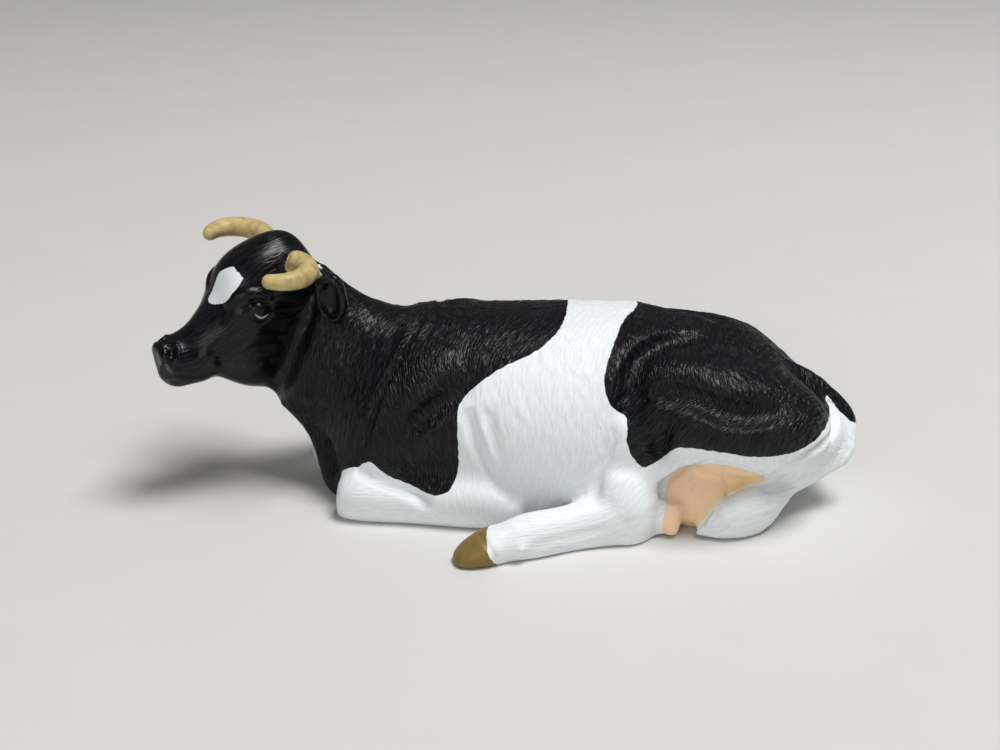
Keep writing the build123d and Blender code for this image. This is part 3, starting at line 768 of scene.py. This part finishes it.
class MaskPaint(bpy.types.Operator):
    """Marks how far each place is inside the black patches, the blaze and the hooves"""

    bl_idname = "cow.mask_paint"
    bl_label = "Mask paint"

    FAR_EDGE = 0.005
    FAR_SHIFT = 0.004
    FAR_BLEND = 0.010
    KNEE_TOP = 0.014
    KNEE_ROUNDS = 8
    SHINE_ROUNDS = 30

    def execute(self, context):
        clay = Clay()
        tree = clay.tree()
        scale = CAMERA_DISTANCE / FOCAL_PX
        far = smooth_step(clay.places[:, 1], self.FAR_EDGE, self.FAR_EDGE + self.FAR_BLEND)
        black = np.full(len(far), -FAR)
        for outline, shift in ((FORE_PATCH_PX, self.FAR_SHIFT), (RUMP_PATCH_PX, -self.FAR_SHIFT)):
            seen = clay.places.copy()
            seen[:, 1] = self.FAR_EDGE - np.abs(seen[:, 1] - self.FAR_EDGE)
            seen[:, 0] += far * shift
            black = np.maximum(black, outline_gap(VIEW.pixels(seen), outline) * scale)
        black[clay.is_piece("head", "left_ear", "right_ear", "neck")] = FAR
        black[clay.is_piece(*WHITE_PIECES)] = -FAR
        knee = clay.is_piece("left_foreleg") & (VIEW.pixels(clay.places)[:, 0] < KNEE_PX)
        black[knee] = -FAR
        brisket = clay.spread(clay.is_piece("neck"), self.KNEE_ROUNDS)
        edge = (brisket > 0) & (brisket < 1) & (knee | clay.is_piece("neck", "right_foreleg"))
        edge &= clay.places[:, 2] < self.KNEE_TOP
        black[edge] = (brisket[edge] - 0.5) * self.KNEE_ROUNDS * context.scene.cow_sizes.grain
        rump = clay.is_piece("torso", "tail")
        tail_end = outline_gap(VIEW.pixels(clay.places[rump]), TAIL_PATCH_PX) * scale
        black[rump] = np.maximum(black[rump], tail_end)

        to_head = np.array(HEAD_FRAME.inverted())
        local = clay.places @ to_head[:3, :3].T + to_head[:3, 3]
        spots = [HEAD_FRAME.inverted() @ VIEW.trace(tree, [pixel])[0][0] for pixel in BLAZE_PX]
        blaze = outline_gap(local[:, 1:], [(spot.y, spot.z) for spot in spots])
        head = clay.is_piece("head")
        front = clay.facings() @ to_head[0, :3] < 0
        black[head] = np.where(front, -blaze, FAR)[head]

        clay.mark("black", black)
        hoof = np.full(len(black), -FAR)
        tip = VIEW.land(tree, HOOF_TIP_PX)[0]
        rim = VIEW.land(tree, HOOF_EDGE_PX)[0]
        ahead = (tip - rim).normalized()
        leg = clay.is_piece("left_hind_leg")
        hoof[leg] = (clay.places[leg] - np.array(rim)) @ np.array(ahead)
        far_leg = clay.is_piece("right_hind_leg")
        hoof[far_leg] = clay.places[far_leg, 0].min() + (tip - rim).length - clay.places[far_leg, 0]
        clay.mark("hoof", hoof)
        clay.mark("udder", udder_gap(clay))
        shine = clay.spread(clay.is_piece("head", "left_ear", "right_ear"), self.SHINE_ROUNDS)
        clay.mark("shine", shine)
        return {"FINISHED"}


# Materials

class Wire:
    """A shader socket that takes part in sums; each sum adds a Math node."""

    def __init__(self, finish, socket):
        self.finish = finish
        self.socket = socket

    def maths(self, operation, first, second):
        return self.finish.node("ShaderNodeMath", {"operation": operation}, {0: first, 1: second})

    def __add__(self, other):
        return self.maths("ADD", self, other)

    def __radd__(self, other):
        return self.maths("ADD", other, self)

    def __sub__(self, other):
        return self.maths("SUBTRACT", self, other)

    def __rsub__(self, other):
        return self.maths("SUBTRACT", other, self)

    def __mul__(self, other):
        return self.maths("MULTIPLY", self, other)

    def __rmul__(self, other):
        return self.maths("MULTIPLY", other, self)

    def __pow__(self, other):
        return self.maths("POWER", self, other)


class Finish:
    """A material under construction."""

    def __init__(self, name):
        self.material = bpy.data.materials.new(name)
        self.material.use_nodes = True
        self.tree = self.material.node_tree
        self.shader = self.tree.nodes["Principled BSDF"]

    def node(self, kind, settings, sockets, output=0):
        """Adds one node: its settings first, then the values or links of its sockets."""
        made = self.tree.nodes.new(kind)
        for name, value in settings.items():
            setattr(made, name, value)
        self.feed(made, sockets)
        return Wire(self, made.outputs[output])

    def feed(self, node, sockets):
        for name, value in sockets.items():
            if isinstance(value, Wire):
                self.tree.links.new(value.socket, node.inputs[name])
            else:
                node.inputs[name].default_value = value

    def place(self):
        return self.node("ShaderNodeTexCoord", {}, {}, "Object")

    def part(self, vector, axis):
        return self.node("ShaderNodeSeparateXYZ", {}, {"Vector": vector}, axis)

    def dot(self, vector, axis):
        return self.node("ShaderNodeVectorMath", {"operation": "DOT_PRODUCT"}, {0: vector, 1: axis}, "Value")

    def mark(self, name):
        return self.node("ShaderNodeAttribute", {"attribute_name": name}, {}, "Fac")

    def noise(self, where, size, detail=2.0):
        """Soft noise with lumps of one size."""
        sockets = {"Vector": where, "Scale": 1 / size, "Detail": detail}
        return self.node("ShaderNodeTexNoise", {}, sockets, "Fac")

    def rise(self, value, low, high):
        """An S-shaped rise from 0 at low to 1 at high."""
        return self.node(
            "ShaderNodeMapRange", {"interpolation_type": "SMOOTHSTEP"},
            {"Value": value, "From Min": low, "From Max": high})

    def mix(self, share, first, second):
        """A colour between two colours."""
        return self.node(
            "ShaderNodeMix", {"data_type": "RGBA"}, {"Factor": share, 6: first, 7: second}, 2)

    def done(self, colour, roughness, height, bump_size, **constants):
        """Connects the varying sockets, sets the constant ones and returns the material."""
        bump = self.node("ShaderNodeBump", {}, {"Height": height, "Distance": bump_size, "Strength": 1.0})
        self.feed(self.shader, {"Base Color": colour, "Roughness": roughness, "Normal": bump})
        self.feed(self.shader, {name.replace("_", " "): value for name, value in constants.items()})
        return self.material


def solid(colour):
    """A property's colour with full cover."""
    return (*colour, 1.0)


def hair_height(finish, where, sizes):
    """Fine hair lines along the marked lie: one set of lines for each of several ways, faded by the lie."""
    level = finish.mark("lie_level")
    upright = finish.mark("lie_upright")
    out = finish.node("ShaderNodeMath", {"operation": "ABSOLUTE"}, {0: finish.part(where, "Y")})
    along_side = finish.part(where, "X") + out * HAIR_SLOPE_SHARE
    up_side = finish.part(where, "Z") - out * HAIR_SLOPE_SHARE
    side = finish.node("ShaderNodeCombineXYZ", {}, {"X": along_side, "Y": up_side})
    total = 0
    for step in range(HAIR_WAYS):
        angle = math.pi * step / HAIR_WAYS
        stroke = (sizes.stroke_length, sizes.stroke_width, 1)
        turned = finish.node(
            "ShaderNodeMapping", {"vector_type": "TEXTURE"},
            {"Vector": side, "Rotation": (0, 0, angle), "Scale": stroke})
        lines = finish.node(
            "ShaderNodeTexNoise", {"noise_dimensions": "2D"},
            {"Vector": turned, "Scale": 1, "Detail": 1, "Distortion": HAIR_WAVE_SHARE}, "Fac")
        match = level * math.cos(2 * angle) + upright * math.sin(2 * angle)
        weight = finish.node("ShaderNodeMath", {"operation": "MAXIMUM"}, {0: match, 1: 0}) ** HAIR_SHARPNESS
        total = finish.rise(lines, *HAIR_EDGE_SHARES) * weight + total
    return total


def eye_glint(finish, where, tree):
    """A painted highlight: a pale crescent glint along the lower eyelid on each side of the head."""
    to_head = HEAD_FRAME.inverted()
    front, middle, back = [to_head @ VIEW.land(tree, pixel)[0] for pixel in EYE_GLINT_PX]
    along = finish.dot(where, to_head[0].to_3d()) + to_head[0].w
    up = finish.dot(where, to_head[2].to_3d()) + to_head[2].w
    half = (back.x - front.x) / 2
    share = (along - (front.x + back.x) / 2) * (1 / half)
    sag = (front.z + back.z) / 2 - middle.z
    curve = share * share * sag + share * ((back.z - front.z) / 2) + middle.z
    gap = finish.node("ShaderNodeMath", {"operation": "ABSOLUTE"}, {0: up - curve})
    return finish.rise((1 - share * share) * EYE_GLINT_WIDTH - gap, 0, EDGE_WIDTH)


def figure_finish(colours, sizes, tree):
    """Satin paint over moulded hair: white hide, black patches, hooves, horns and udder, with painted shade
    between the white hairs, a painted sheen on the black hairs and a painted highlight on each lower eyelid.
    """
    finish = Finish("painted figure")
    where = finish.place()
    wobble = (finish.noise(where, WOBBLE_SIZE) - 0.5) * WOBBLE_HEIGHT
    black = finish.rise(finish.mark("black") + wobble, -EDGE_WIDTH, EDGE_WIDTH)
    hoof = finish.rise(finish.mark("hoof") + wobble, -EDGE_WIDTH, EDGE_WIDTH)
    udder = finish.rise(finish.mark("udder") + wobble, -EDGE_WIDTH, EDGE_WIDTH)
    horn = finish.rise(finish.mark("horn"), *HORN_EDGE_SHARES)
    bare = (1 - hoof) * (1 - horn) * (1 - udder)
    shine = finish.mark("shine")
    hair = hair_height(finish, where, sizes)
    clouds = finish.noise(where, CLOUD_SIZE, CLOUD_DETAIL)
    specks = finish.noise(where, SPECK_SIZE, SPECK_DETAIL)
    # Painted light and shade on the white: lighter on the hair lines, darker between them, with random
    # clouds of tone mixed in
    lit = finish.rise(hair + clouds * CLOUD_SHARE, *WHITE_HAIR_SHARES)
    white = finish.mix(lit, solid(colours.white_painted_shade), solid(colours.white))
    # Painted sheen on the black: lighter on the hair lines
    sheen = finish.rise(hair, *BLACK_HAIR_SHARES)
    dark = finish.mix(sheen, solid(colours.black), solid(colours.black_sheen))
    hide = finish.mix(black, white, dark)
    # Painted highlight: the pale glint along each lower eyelid
    glinted = finish.mix(eye_glint(finish, where, tree), hide, solid(colours.eyelid_glint))
    back = finish.part(where, "X") - finish.part(where, "Z") + clouds * CLOUD_SIZE
    yellow = finish.rise(back, *UDDER_TINT)
    bag = finish.mix(yellow, solid(colours.udder), solid(colours.udder_edge))
    streaks = finish.rise(specks, *STREAK_SHARES)
    streaked = finish.mix(streaks, solid(colours.horn_shade), solid(colours.horn))
    horny = finish.mix(specks, solid(colours.hoof_shade), solid(colours.hoof))
    colour = finish.mix(horn, finish.mix(udder, finish.mix(hoof, glinted, horny), bag), streaked)
    gloss = black * bare * BLACK_GLOSS + shine * bare * HEAD_GLOSS + (1 - bare) * BARE_GLOSS
    roughness = HIDE_ROUGHNESS - gloss + clouds * CLOUD_ROUGHNESS
    depth = WHITE_RELIEF_SHARE + black * (1 - WHITE_RELIEF_SHARE)
    relief = hair * bare * (1 - shine * HEAD_SMOOTH_SHARE) * depth
    return finish.done(colour, roughness, relief, sizes.stroke_height, Specular_IOR_Level=PAINT_SPECULAR)


class PartPieces(bpy.types.Operator):
    """Parts the moulding into its closed pieces and gives each one its finish"""

    bl_idname = "cow.part_pieces"
    bl_label = "Part pieces"

    MARKS = ("black", "hoof", "udder", "horn", "shine", "lie_level", "lie_upright")
    WALL_DEPTH = 0.0006
    FLATNESS = 0.2

    def execute(self, context):
        scene = context.scene
        clay = Clay()
        owner = self.face_owners(clay)
        paint = figure_finish(scene.cow_colours, scene.cow_sizes, clay.tree())
        moulding = bpy.data.objects[MOULDING]
        facing = clay.facings()
        clay.mesh.attributes.new("facing", "FLOAT_VECTOR", "POINT")
        clay.mesh.attributes["facing"].data.foreach_set("vector", facing.astype(np.float32).ravel())
        labels = {}
        for name in PIECES:
            label = bpy.data.materials.new(name)
            labels[label.name] = name
            moulding.data.materials.append(label)
        clay.mesh.polygons.foreach_set("material_index", owner.astype(np.int32))
        only(moulding)
        bpy.ops.object.mode_set(mode="EDIT")
        bpy.ops.mesh.separate(type="MATERIAL")
        bpy.ops.object.mode_set(mode="OBJECT")
        for part in list(context.selected_objects):
            name = labels[part.data.materials[0].name]
            self.finish_piece(part, name, paint)
        return {"FINISHED"}

    def face_owners(self, clay):
        """The piece that each face belongs to: the one that most of its corners belong to."""
        corners = np.empty(len(clay.mesh.loops), dtype=np.int32)
        clay.mesh.loops.foreach_get("vertex_index", corners)
        quads = corners.reshape(-1, 4)
        return np.sort(clay.piece[quads], axis=1)[:, 1]

    def finish_piece(self, part, name, material):
        """Closes a piece at its seams, keeps the shading across them and seats it in the frame."""
        only(part)
        self.close(part.data)
        part.data.materials.clear()
        part.data.materials.append(material)
        part.name = name + "_painted"
        part.data.name = part.name
        bpy.ops.object.shade_smooth()
        flat = np.empty(len(part.data.vertices) * 3, dtype=np.float32)
        part.data.attributes["facing"].data.foreach_get("vector", flat)
        part.data.normals_split_custom_set_from_vertices(flat.reshape(-1, 3).tolist())
        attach(part, "root")
        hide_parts(name)

    def close(self, mesh):
        """Closes each seam with a wall that goes straight in and a cap that is drawn in behind it."""
        outer = len(mesh.vertices)
        bpy.ops.object.mode_set(mode="EDIT")
        bpy.ops.mesh.select_mode(type="EDGE")
        bpy.ops.mesh.select_all(action="DESELECT")
        bpy.ops.mesh.select_non_manifold(
            use_wire=False, use_boundary=True, use_multi_face=False, use_non_contiguous=False,
            use_verts=False)
        bpy.ops.mesh.extrude_edges_indiv()
        bpy.ops.object.mode_set(mode="OBJECT")
        facing = mesh.attributes["facing"].data
        for index in range(outer, len(mesh.vertices)):
            mesh.vertices[index].co -= facing[index].vector * self.WALL_DEPTH
        inner = len(mesh.vertices)
        bpy.ops.object.mode_set(mode="EDIT")
        bpy.ops.mesh.select_all(action="SELECT")
        bpy.ops.mesh.fill_holes(sides=0)
        bpy.ops.mesh.select_all(action="DESELECT")
        bpy.ops.mesh.select_face_by_sides(number=4, type="GREATER")
        bpy.ops.mesh.poke()
        bpy.ops.mesh.select_all(action="SELECT")
        bpy.ops.mesh.normals_make_consistent(inside=False)
        bpy.ops.object.mode_set(mode="OBJECT")
        rims = {middle: [] for middle in range(inner, len(mesh.vertices))}
        for edge in mesh.edges:
            first, second = edge.vertices
            if first in rims:
                rims[first].append(second)
            if second in rims:
                rims[second].append(first)
        for middle, rim in rims.items():
            self.sink(mesh, middle, rim)
            for name in self.MARKS:
                values = mesh.attributes[name].data
                values[middle].value = sum(values[index].value for index in rim) / len(rim)
        facing = mesh.attributes["facing"].data
        for index in range(outer, len(mesh.vertices)):
            facing[index].vector = (0, 0, 0)

    def sink(self, mesh, middle, rim):
        """Moves the middle of a cap to the place that lies well under the surface all round its rim."""
        places = np.array([mesh.vertices[index].co for index in rim])
        facing = np.array([mesh.attributes["facing"].data[index].vector for index in rim])
        centre = places.mean(axis=0)
        depth = np.linalg.norm(places - centre, axis=1).mean()
        lack = -depth - np.einsum("ij,ij->i", centre - places, facing)
        move = np.linalg.lstsq(facing, lack, rcond=self.FLATNESS)[0]
        length = np.linalg.norm(move)
        if length > depth:
            move *= depth / length
        mesh.vertices[middle].co = centre + move


class SetStage(bpy.types.Operator):
    """Lays the floor, sets the lights and places the camera"""

    bl_idname = "cow.set_stage"
    bl_label = "Set stage"

    def execute(self, context):
        looks = context.scene.cow_stage
        bpy.ops.object.select_all(action="DESELECT")
        bpy.ops.mesh.primitive_plane_add(size=looks.floor_size)
        floor = context.object
        floor.name = "floor"
        finish = Finish("pale floor")
        grain = finish.noise(finish.place(), looks.floor_grain, SPECK_DETAIL)
        darker = [looks.floor_shade * part for part in looks.floor]
        shade = finish.mix(grain, solid(darker), solid(looks.floor))
        floor.data.materials.append(finish.done(shade, looks.floor_roughness, grain, looks.floor_relief))

        world = bpy.data.worlds.new("studio")
        context.scene.world = world
        world.use_nodes = True
        world.node_tree.nodes["Background"].inputs["Color"].default_value = (1, 1, 1, 1)
        world.node_tree.nodes["Background"].inputs["Strength"].default_value = looks.surround
        self.lamp("key", looks.key_place, looks.key_size, looks.key_power)
        self.lamp("fill", looks.fill_place, looks.fill_size, looks.fill_power)

        camera = bpy.data.objects.new("camera", bpy.data.cameras.new("camera"))
        context.scene.collection.objects.link(camera)
        camera.data.sensor_width = SENSOR_WIDTH_MM
        camera.data.lens = FOCAL_PX / PHOTO_WIDTH_PX * SENSOR_WIDTH_MM
        camera.data.clip_start = CAMERA_DISTANCE / 100
        camera.location = VIEW.eye
        camera.rotation_euler = VIEW.ahead.to_track_quat("-Z", "Y").to_euler()
        context.scene.camera = camera
        context.scene.view_settings.view_transform = "Standard"
        return {"FINISHED"}

    def lamp(self, name, place, size, power):
        """A soft square lamp that shines at the figure."""
        light = bpy.data.lights.new(name, "AREA")
        light.size = size
        light.energy = power
        lamp = bpy.data.objects.new(name, light)
        bpy.context.scene.collection.objects.link(lamp)
        lamp.location = place
        lamp.rotation_euler = (CAMERA_TARGET - Vector(place)).to_track_quat("-Z", "Y").to_euler()


STEPS = (
    CastMoulding, ModelTrunk, ModelHead, ModelLegs, ModelUdderAndTail, CombHair, MaskPaint, PartPieces,
    SetStage)


class CowPanel(bpy.types.Panel):
    """Lists the steps that make the figurine"""

    bl_idname = "VIEW3D_PT_cow"
    bl_label = "Lying cow figurine"
    bl_space_type = "VIEW_3D"
    bl_region_type = "UI"
    bl_category = "Cow"

    def draw(self, context):
        for group in (context.scene.cow_sizes, context.scene.cow_colours, context.scene.cow_stage):
            for name in group.bl_rna.properties.keys()[2:]:
                self.layout.prop(group, name)
        for step in STEPS:
            self.layout.operator(step.bl_idname)


GROUPS = {"cow_sizes": MouldingSizes, "cow_colours": PaintColours, "cow_stage": StageLooks}


def register():
    for kind in (*GROUPS.values(), *STEPS, CowPanel):
        bpy.utils.register_class(kind)
    for name, kind in GROUPS.items():
        setattr(bpy.types.Scene, name, PointerProperty(type=kind))


def unregister():
    for name in GROUPS:
        delattr(bpy.types.Scene, name)
    for kind in (CowPanel, *reversed(STEPS), *GROUPS.values()):
        bpy.utils.unregister_class(kind)


def main():
    register()
    bpy.ops.cow.cast_moulding()
    bpy.ops.cow.model_trunk()
    bpy.ops.cow.model_head()
    bpy.ops.cow.model_legs()
    bpy.ops.cow.model_udder_and_tail()
    bpy.ops.cow.comb_hair()
    bpy.ops.cow.mask_paint()
    bpy.ops.cow.part_pieces()
    bpy.ops.cow.set_stage()


if __name__ == "__main__":
    main()
